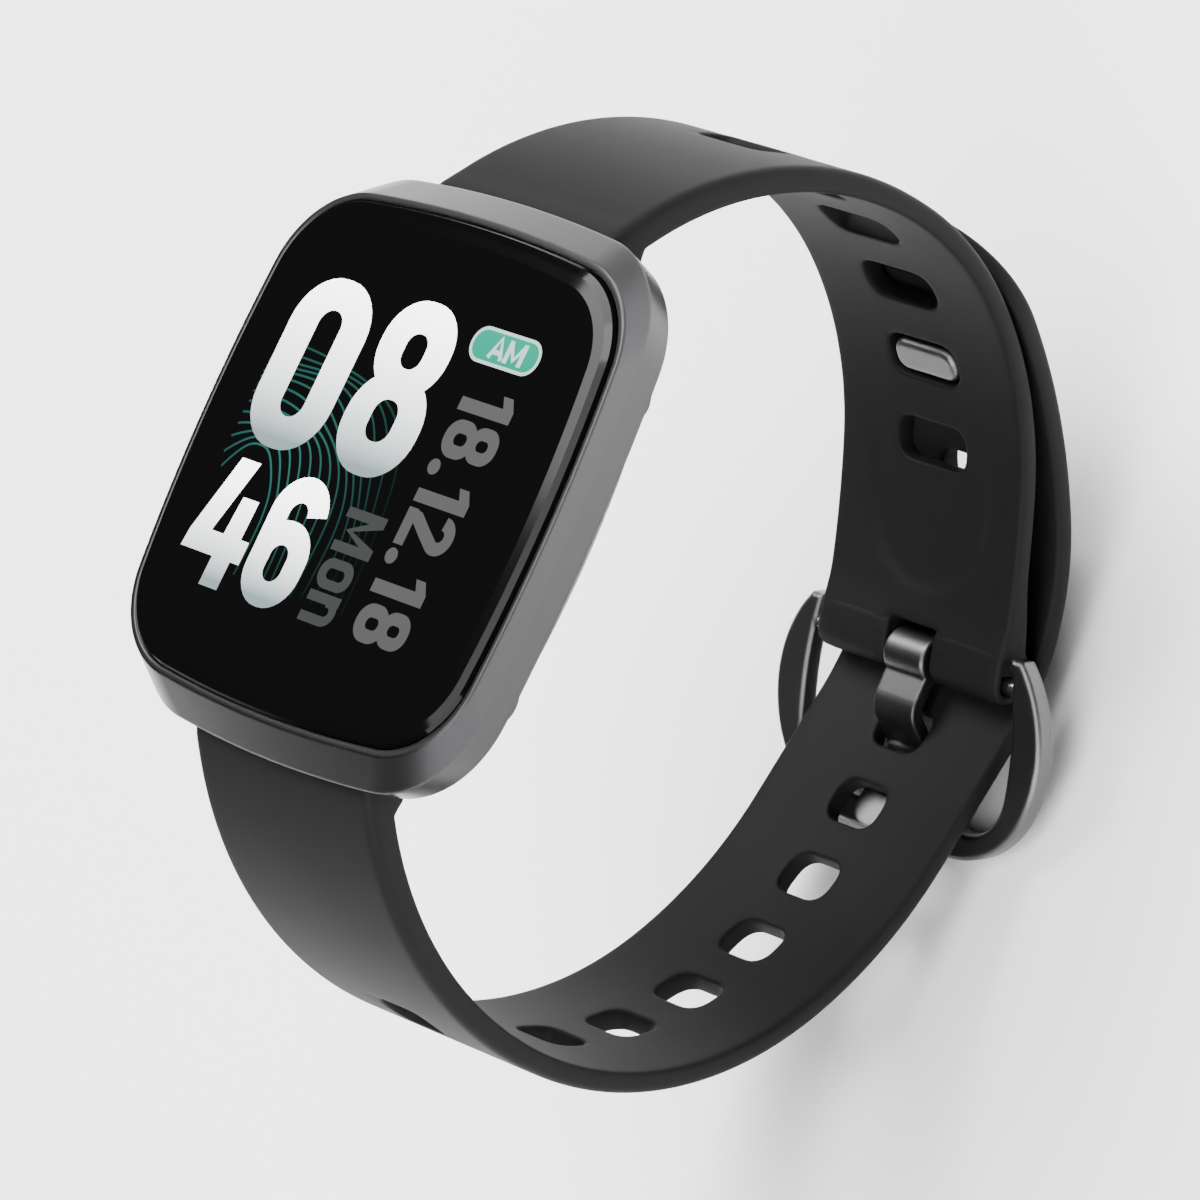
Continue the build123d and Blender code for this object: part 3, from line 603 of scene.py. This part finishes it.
def dial_light(name, top, bottom, y_top, y_bottom, strength):
    """Glowing display colour that runs from top to bottom between two heights on the dial."""
    material = bpy.data.materials.new(name)
    material.use_nodes = True
    tree = material.node_tree
    shader = tree.nodes["Principled BSDF"]
    shader.inputs["Base Color"].default_value = grey(0.0015)
    shader.inputs["Roughness"].default_value = 0.1
    shader.inputs["Specular IOR Level"].default_value = 0.1
    where = node(tree, "ShaderNodeTexCoord")
    split = node(tree, "ShaderNodeSeparateXYZ", [("Vector", where.outputs["Object"])])
    share = node(tree, "ShaderNodeMapRange", [("Value", split.outputs["Y"])])
    share.inputs["From Min"].default_value = y_bottom * MM
    share.inputs["From Max"].default_value = y_top * MM
    colours = node(tree, "ShaderNodeMix", [("Factor", share.outputs[0])])
    colours.data_type = "RGBA"
    colours.inputs[6].default_value = (*bottom, 1)
    colours.inputs[7].default_value = (*top, 1)
    tree.links.new(colours.outputs[2], shader.inputs["Emission Color"])
    shader.inputs["Emission Strength"].default_value = strength
    return material


def glow_from(name, colour, centre, radius, strength):
    """Glowing colour that fades with the distance from a point of the dial."""
    material = bpy.data.materials.new(name)
    material.use_nodes = True
    tree = material.node_tree
    shader = tree.nodes["Principled BSDF"]
    shader.inputs["Base Color"].default_value = grey(0.0015)
    shader.inputs["Roughness"].default_value = 0.1
    shader.inputs["Specular IOR Level"].default_value = 0.1
    where = node(tree, "ShaderNodeTexCoord")
    middle = (centre[0] * MM, centre[1] * MM, GLASS_TOP * MM)
    gap = node(tree, "ShaderNodeVectorMath", [("Vector", where.outputs["Object"])])
    gap.operation = "DISTANCE"
    gap.inputs[1].default_value = middle
    fade = node(tree, "ShaderNodeMapRange", [("Value", gap.outputs["Value"])])
    fade.inputs["From Max"].default_value = radius * MM
    fade.inputs["To Min"].default_value = strength
    fade.inputs["To Max"].default_value = 0.04 * strength
    tree.links.new(fade.outputs[0], shader.inputs["Emission Strength"])
    shader.inputs["Emission Color"].default_value = (*colour, 1)
    return material


class Print:
    """Flat closed shapes of one colour on the glass."""

    def __init__(self, layer, turn=None):
        self.shell = Shell()
        self.low = GLASS_TOP + 0.01 * layer
        self.turn = turn or (lambda u, v: (u, v))

    def rows(self, outline):
        spots = []
        for u, v in outline:
            x, y = self.turn(u, v)
            spots.append((x + DIAL_TILT * y, y))
        return [self.shell.row([(x, y, self.low + h) for x, y in spots]) for h in (0, FILM)]

    def plate(self, outline):
        """Filled outline."""
        low, high = self.rows(outline)
        self.shell.bridge(low, high)
        self.shell.faces.append(tuple(low))
        self.shell.faces.append(tuple(high))
        self.low += 0.0005

    def band(self, one, other, closed=True):
        """Band between two lines with as many points."""
        a_low, a_high = self.rows(one)
        b_low, b_high = self.rows(other)
        self.shell.bridge(a_low, b_low, closed)
        self.shell.bridge(a_high, b_high, closed)
        self.shell.bridge(a_low, a_high, closed)
        self.shell.bridge(b_low, b_high, closed)
        if not closed:
            for k in (0, -1):
                self.shell.faces.append((a_low[k], b_low[k], b_high[k], a_high[k]))
        self.low += 0.0005

    def ring(self, outer, inner):
        self.band(rounded(*outer), rounded(*inner))

    def stroke(self, line, width):
        """Line drawn with a pen of a width."""
        sides = ([], [])
        for k, (u, v) in enumerate(line):
            before = line[max(k - 1, 0)]
            after = line[min(k + 1, len(line) - 1)]
            du, dv = after[0] - before[0], after[1] - before[1]
            length = hypot(du, dv)
            for side, way in zip(sides, (1, -1)):
                side.append((u - way * dv / length * width / 2, v + way * du / length * width / 2))
        self.band(*sides, closed=False)

    def done(self, name, material):
        piece = self.shell.piece(name, material)
        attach(piece, "case")
        return piece


def rounded(u, v, half_u, half_v, corner, steps=8):
    """Rounded rectangle round (u, v)."""
    outline = []
    for quarter in range(4):
        su = (1, -1, -1, 1)[quarter]
        sv = (1, 1, -1, -1)[quarter]
        for k in range(steps + 1):
            angle = pi / 2 * (quarter + k / steps)
            cu = u + su * (half_u - corner) + corner * cos(angle)
            cv = v + sv * (half_v - corner) + corner * sin(angle)
            outline.append((cu, cv))
    return outline


def arc(u, v, radius_u, radius_v, start, end, steps=18):
    turns = [radians(start + (end - start) * k / steps) for k in range(steps + 1)]
    return [(u + radius_u * cos(a), v + radius_v * sin(a)) for a in turns]


hours = Print(2)
hours.ring((-10.1, 5.6, 4.2, 6.6, 3.9), (-10.1, 5.65, 1.25, 4.15, 1.2))
hours.ring((-0.5, 3.15, 4.05, 3.95, 3.7), (-0.6, 3.4, 1.3, 1.6, 1.15))
hours.ring((-0.65, 8.95, 3.75, 3.6, 3.4), (-0.65, 8.75, 1.1, 1.35, 1.0))
white = dial_light("dial_hours", (1.0, 1.0, 1.0), (0.08, 0.105, 0.108), 12.0, -0.2, 6.0)
hours.done("dial_hours", white)

minutes = Print(2)
four = [(-12.35, -2.3), (-10.25, -2.3), (-12.05, -7.9), (-10.65, -7.9), (-10.4, -4.95), (-8.65, -4.95)]
four += [(-8.7, -7.9), (-7.75, -7.9), (-7.75, -9.65), (-8.75, -9.65), (-8.75, -11.85), (-10.8, -11.85)]
four += [(-10.75, -9.65), (-14.4, -9.65), (-14.25, -8.3)]
minutes.plate(four)
minutes.ring((-4.2, -8.65, 2.95, 3.3, 2.8), (-4.25, -8.6, 0.95, 1.4, 0.9))
hook = [(-6.15, -8.6), (-6.18, -6.8)] + arc(-4.25, -4.9, 1.95, 1.95, 180, 8)
minutes.stroke(hook, 1.95)
whiter = dial_light("dial_minutes", (1.0, 1.0, 1.0), (0.08, 0.105, 0.108), -3.0, -11.3, 6.0)
minutes.done("dial_minutes", whiter)

halo = Print(2)
halo.ring((7.95, 10.8, 3.65, 1.35, 1.33), (7.95, 10.8, 3.4, 1.1, 1.08))
for line in ([(6.55, 10.0), (7.2, 11.6), (7.85, 10.0)], [(6.85, 10.5), (7.55, 10.5)]):
    halo.stroke(line, 0.38)
halo.stroke([(8.3, 9.95), (8.3, 11.65)], 0.42)
halo.stroke([(8.3, 11.5), (9.05, 10.3), (9.8, 11.5)], 0.4)
halo.stroke([(9.8, 9.95), (9.8, 11.65)], 0.42)
halo.done("dial_half_of_day", dial_light("dial_mark", (0.75, 1.0, 0.93), (0.75, 1.0, 0.93), 12, 9, 1.5))
pill = Print(1)
pill.plate(rounded(7.95, 10.8, 3.42, 1.12, 1.1))
pill.done("dial_pill", dial_light("dial_teal", (0.0, 0.70, 0.45), (0.0, 0.60, 0.38), 12, 9, 1.0))


def one(ink, u):
    flag = [(u + 0.95, 5.5), (u, 4.9), (u, 3.9), (u + 0.85, 4.35)]
    ink.plate([(u + 0.85, 0), (u + 1.85, 0), (u + 1.85, 5.5)] + flag)


def eight(ink, u):
    ink.ring((u + 1.45, 1.6, 1.45, 1.6, 1.35), (u + 1.45, 1.7, 0.45, 0.65, 0.42))
    ink.ring((u + 1.45, 4.1, 1.38, 1.5, 1.25), (u + 1.45, 4.05, 0.42, 0.6, 0.4))


def two(ink, u):
    curve = arc(u + 1.4, 4.1, 0.95, 0.95, 180, -25)
    ink.stroke(curve + [(u + 1.5, 2.5), (u + 0.65, 1.25), (u + 0.55, 0.5)], 1.0)
    ink.plate([(u + 0.05, 0), (u + 2.85, 0), (u + 2.85, 1.0), (u + 0.05, 1.0)])


def dot(ink, u):
    ink.plate(arc(u, 0.45, 0.6, 0.6, 0, 345, 23))


def downwards(base, start):
    """Reading direction down the dial, with the feet of the characters towards 9 o'clock."""
    return lambda u, v: (base + v, start - u)


date = Print(2, downwards(6.0, 7.75))
one(date, 0.0)
eight(date, 2.4)
dot(date, 6.2)
one(date, 7.05)
two(date, 9.3)
dot(date, 13.05)
one(date, 14.0)
eight(date, 16.55)
faint = dial_light("dial_grey", (0.17, 0.17, 0.17), (0.15, 0.15, 0.15), 8, -12, 1.0)
date.done("dial_date", faint)

day = Print(2, downwards(0.35, -3.0))
day.stroke([(0.38, 0), (0.38, 4.2)], 0.76)
day.stroke([(0.5, 4.1), (1.65, 1.0), (2.8, 4.1)], 0.7)
day.stroke([(2.92, 0), (2.92, 4.2)], 0.76)
day.ring((4.95, 1.72, 1.15, 1.78, 1.1), (4.95, 1.72, 0.42, 0.95, 0.4))
day.stroke([(6.75, 0), (6.75, 3.45)], 0.76)
day.stroke([(6.9, 2.2)] + arc(7.6, 2.3, 0.75, 0.8, 150, 0, 10) + [(8.35, 0)], 0.74)
day.done("dial_day", dial_light("dial_dim", (0.085, 0.09, 0.09), (0.085, 0.09, 0.09), 8, -12, 1.0))

# contour lines: wobbling ovals round a hill at the lower left, kept inside the display
contours = Print(0)
HILL = (-11.3, -8.6)
LEFT, BOTTOM, LINES_REACH = -14.6, -10.5, 19.0
for k in range(14):
    half_u = 3.6 + 0.95 * k
    half_v = 7.4 + 0.62 * k
    line = []
    for step in range(-36, 140):
        a = radians(step)
        swell = 1 + 0.025 * sin(5 * a + 0.8 * k)
        u = HILL[0] + half_u * swell * (1 if cos(a) > 0 else -1) * abs(cos(a)) ** 0.8
        v = HILL[1] + half_v * swell * (1 if sin(a) > 0 else -1) * abs(sin(a)) ** 0.8
        if u > LEFT and v > BOTTOM and hypot(u, v) < LINES_REACH:
            line.append((u, v))
    contours.stroke(line, 0.16)
contours.done("dial_contours", glow_from("dial_lines", (0.08, 0.55, 0.46), (-8.5, -0.5), 12.5, 0.45))

# ---------------------------------------------------------------- finishes of the CAD pieces
for part in frame["record"]["subparts"]:
    piece = nodes[part["node"]]
    piece.data.materials.clear()
    piece.data.materials.append(FINISHES[part["material_slot"]])

# ---------------------------------------------------------------- floor, light and camera
floor_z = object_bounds()[0][2]
PALE = 2.2  # brightness of the backdrop, and of the floor where the lights don't reach


def panel(name, place, aim, size, power):
    """Soft light at place, facing aim; sizes and places in metres."""
    light = bpy.data.lights.new(name, "AREA")
    light.shape = "RECTANGLE"
    light.size, light.size_y = size
    light.energy = power
    lamp = bpy.data.objects.new(name, light)
    bpy.context.scene.collection.objects.link(lamp)
    way = Vector(aim) - Vector(place)
    lamp.matrix_world = Matrix.Translation(place) @ way.to_track_quat("-Z", "Y").to_matrix().to_4x4()
    lamp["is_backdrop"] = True


def pale_far_away(material):
    """Keep a floor pale up to the horizon: far from the watch it glows, for the camera only."""
    tree = material.node_tree
    shader = tree.nodes["Principled BSDF"]
    where = node(tree, "ShaderNodeTexCoord")
    distance = node(tree, "ShaderNodeVectorMath", [("Vector", where.outputs["Object"])])
    distance.operation = "LENGTH"
    far = node(tree, "ShaderNodeMapRange", [("Value", distance.outputs["Value"])])
    far.inputs["From Min"].default_value = 0.25
    far.inputs["From Max"].default_value = 1.3
    far.inputs["To Max"].default_value = PALE
    seen_by = node(tree, "ShaderNodeLightPath")
    glow = node(tree, "ShaderNodeMath")
    glow.operation = "MULTIPLY"
    tree.links.new(far.outputs[0], glow.inputs[0])
    tree.links.new(seen_by.outputs["Is Camera Ray"], glow.inputs[1])
    shader.inputs["Emission Color"].default_value = grey(1.0)
    tree.links.new(glow.outputs[0], shader.inputs["Emission Strength"])


def floor(half_width):
    """Pale floor touching the lowest point of the strap."""
    mesh = bpy.data.meshes.new("floor")
    corners = [(-half_width, -half_width), (half_width, -half_width), (half_width, half_width)]
    corners.append((-half_width, half_width))
    mesh.from_pydata([(x, y, floor_z) for x, y in corners], [], [(0, 1, 2, 3)])
    pale = finish("floor", grey(0.95), 0.7, grain=30.0, mottle=0.004, bump=0.0, Specular_IOR_Level=0.0)
    pale_far_away(pale)
    mesh.materials.append(pale)
    ground = bpy.data.objects.new("floor", mesh)
    bpy.context.scene.collection.objects.link(ground)
    ground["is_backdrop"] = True


floor(3.0)
target = (0.0, 0.0, -0.012)
panel("key", (-0.25, 0.30, 0.558), target, (0.45, 0.45), 12.0)
panel("fill", (0.42, -0.52, 0.458), target, (0.6, 0.6), 10.0)
panel("top", (0.05, 0.0, 0.758), target, (0.7, 0.7), 14.0)

world = bpy.data.worlds.new("studio")
bpy.context.scene.world = world
world.use_nodes = True
backdrop = world.node_tree.nodes["Background"]
sky_place = node(world.node_tree, "ShaderNodeTexCoord")
sky_split = node(world.node_tree, "ShaderNodeSeparateXYZ", [("Vector", sky_place.outputs["Generated"])])
sky = node(world.node_tree, "ShaderNodeMapRange", [("Value", sky_split.outputs["Z"])])
sky.inputs["To Min"].default_value = 0.15
sky.inputs["To Max"].default_value = 1.3
ray = node(world.node_tree, "ShaderNodeLightPath")
choice = [("Factor", ray.outputs["Is Camera Ray"]), ("A", sky.outputs[0])]
strength = node(world.node_tree, "ShaderNodeMix", choice)
strength.inputs["B"].default_value = PALE / backdrop.inputs["Color"].default_value[0]
world.node_tree.links.new(strength.outputs[0], backdrop.inputs["Strength"])

camera = bpy.data.cameras.new("camera")
camera.lens = 233.3
camera.sensor_width = 36.0
camera.clip_start = 0.01
eye = bpy.data.objects.new("camera", camera)
bpy.context.scene.collection.objects.link(eye)
right = Vector((0.6494, 0.4027, -0.6451))
up = Vector((-0.2313, 0.9127, 0.3368))
back = right.cross(up)
turn = Matrix((right, up, back)).transposed().to_4x4()
eye.matrix_world = Matrix.Translation((0.4074, -0.0398, 0.3709)) @ turn
bpy.context.scene.camera = eye
eye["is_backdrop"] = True
